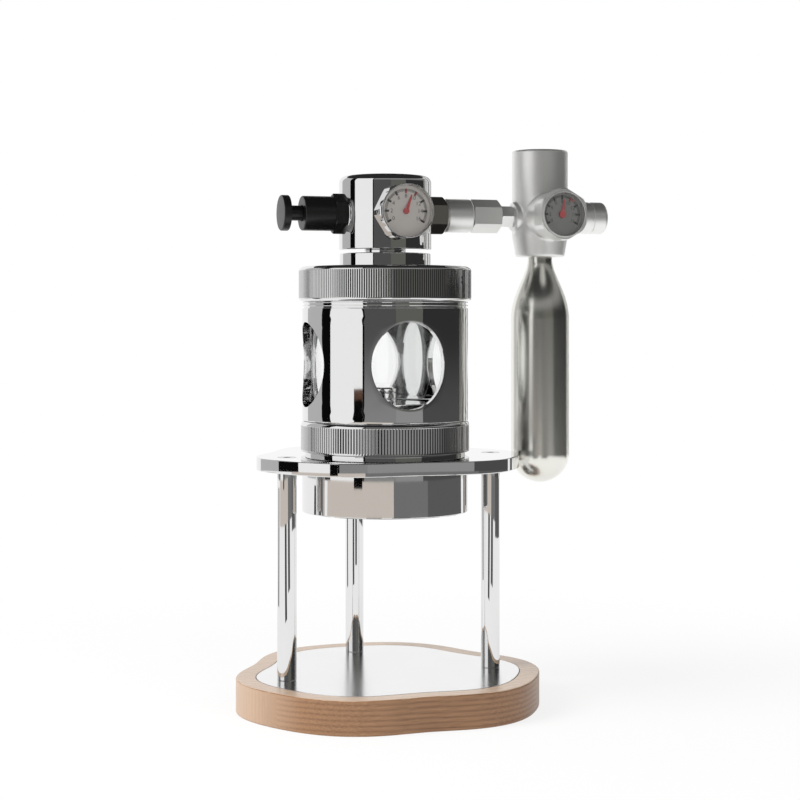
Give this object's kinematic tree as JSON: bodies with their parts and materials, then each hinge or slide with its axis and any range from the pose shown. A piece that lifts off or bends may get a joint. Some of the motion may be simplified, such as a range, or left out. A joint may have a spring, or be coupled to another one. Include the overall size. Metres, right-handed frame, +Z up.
{
  "type": "manual espresso machine",
  "caption": "Gas-driven manual espresso machine: chromed chamber with oval windows on a three-legged stand, wooden base, release valve, gauges, regulator and hanging cartridge.",
  "frame": {"origin": "centre of the base's underside, below the axis of the chamber", "axes": "+Z up, +X from the chamber along the gas line to the regulator, -Y the side that the gauges face"},
  "size_m": [0.1638, 0.1225, 0.2336],
  "materials": {
    "base_wood": "oiled, fine open grain",
    "inlay_steel": "satin, softly mirroring",
    "polished_chrome": "mirror polished",
    "screw_steel": "bright zinc",
    "basket_steel": "satin pressed sheet",
    "rubber_seal": "matt",
    "clear_glass": "thick clear borosilicate",
    "black_anodised": "satin black anodised",
    "black_chrome": "polished black chrome",
    "satin_aluminium": "fine satin",
    "cartridge_steel": "drawn, satin",
    "spring_steel": "drawn wire",
    "tube_brass": "plain",
    "dial_pale": "printed dial, warm grey",
    "dial_grey": "printed dial, mid grey",
    "needle_red": "gloss red paint"
  },
  "bodies": {
    "stand": {"wood_base": "base_wood", "base_inlay": "inlay_steel", "rear_leg": "polished_chrome", "left_leg": "polished_chrome", "right_leg": "polished_chrome", "base_screws": "screw_steel", "plate_screws": "polished_chrome", "top_plate": "polished_chrome", "group_body": "polished_chrome", "group_gasket": "rubber_seal", "spray_screen": "basket_steel", "spray_screw": "screw_steel", "spray_block": "basket_steel", "diffuser_disc": "basket_steel", "diffuser_hub": "polished_chrome", "lower_seal": "rubber_seal", "glass_tube": "clear_glass", "chamber_sleeve": "polished_chrome", "upper_seal": "rubber_seal"},
    "clamp_ring": {"lower_ring": "polished_chrome"},
    "holder": {"filter_holder": "polished_chrome", "filter_basket": "basket_steel"},
    "cap": {"chamber_lid": "polished_chrome", "head_stem": "polished_chrome", "head_body": "polished_chrome", "front_gauge_case": "polished_chrome", "front_gauge_tube": "tube_brass", "front_gauge_dial": "dial_pale", "front_gauge_lens": "clear_glass", "valve_seat_ring": "polished_chrome", "valve_body": "black_anodised", "valve_spring": "spring_steel", "inlet_nut": "black_chrome", "hex_adapter": "satin_aluminium", "regulator_nipple": "satin_aluminium", "regulator_body": "satin_aluminium", "side_gauge_case": "satin_aluminium", "side_gauge_tube": "tube_brass", "side_gauge_dial": "dial_grey", "side_gauge_lens": "clear_glass", "piercing_pin": "screw_steel", "cartridge_seal": "rubber_seal", "regulator_piston": "screw_steel", "regulator_spring": "spring_steel", "spring_plate": "screw_steel", "spring_cap": "satin_aluminium"},
    "cap_ring": {"upper_ring": "polished_chrome"},
    "front_needle": {"front_gauge_needle": "needle_red"},
    "valve": {"valve_plunger": "black_anodised"},
    "coupler": {"coupler_sleeve": "satin_aluminium"},
    "side_needle": {"side_gauge_needle": "needle_red"},
    "shutoff": {"shutoff_knob": "satin_aluminium"},
    "adjuster": {"adjusting_screw": "screw_steel"},
    "cartridge": {"gas_cartridge": "cartridge_steel"}
  },
  "joints": [
    {"name": "clamp_ring_turn", "type": "hinge", "parent": "stand", "child": "clamp_ring", "pos_m": [0, 0, 0.1123], "axis": [0, 0, 1], "continuous": true},
    {"name": "holder_drop", "type": "slide", "parent": "stand", "child": "holder", "axis": [0, 0, -1], "range_m": [0, 0.045]},
    {"name": "cap_lift", "type": "slide", "parent": "stand", "child": "cap", "axis": [0, 0, 1], "range_m": [0, 0.06]},
    {"name": "cap_ring_turn", "type": "hinge", "parent": "cap", "child": "cap_ring", "pos_m": [0, 0, 0.1758], "axis": [0, 0, 1], "continuous": true},
    {"name": "front_needle_sweep", "type": "hinge", "parent": "cap", "child": "front_needle", "pos_m": [0, -0.0286, 0.205], "axis": [0, 1, 0], "range_deg": [-139.5, 100.5]},
    {"name": "valve_pull", "type": "slide", "parent": "cap", "child": "valve", "axis": [-1, 0, 0], "range_m": [0, 0.003], "stiffness_N_per_m": 600, "springref_m": -0.002, "deforming": ["valve_spring"]},
    {"name": "coupler_turn", "type": "hinge", "parent": "cap", "child": "coupler", "pos_m": [0.032, 0, 0.205], "axis": [1, 0, 0], "continuous": true},
    {"name": "side_needle_sweep", "type": "hinge", "parent": "cap", "child": "side_needle", "pos_m": [0.0701, -0.0246, 0.205], "axis": [0, 1, 0], "range_deg": [-127.5, 112.5]},
    {"name": "shutoff_turn", "type": "hinge", "parent": "cap", "child": "shutoff", "pos_m": [0.0924, 0, 0.205], "axis": [1, 0, 0], "range_deg": [0, 720]},
    {"name": "adjuster_turn", "type": "hinge", "parent": "cap", "child": "adjuster", "pos_m": [0.0701, 0, 0.2305], "axis": [0, 0, 1], "range_deg": [-360, 360]},
    {"name": "cartridge_drop", "type": "slide", "parent": "cap", "child": "cartridge", "axis": [0, 0, -1], "range_m": [0, 0.03]}
  ]
}
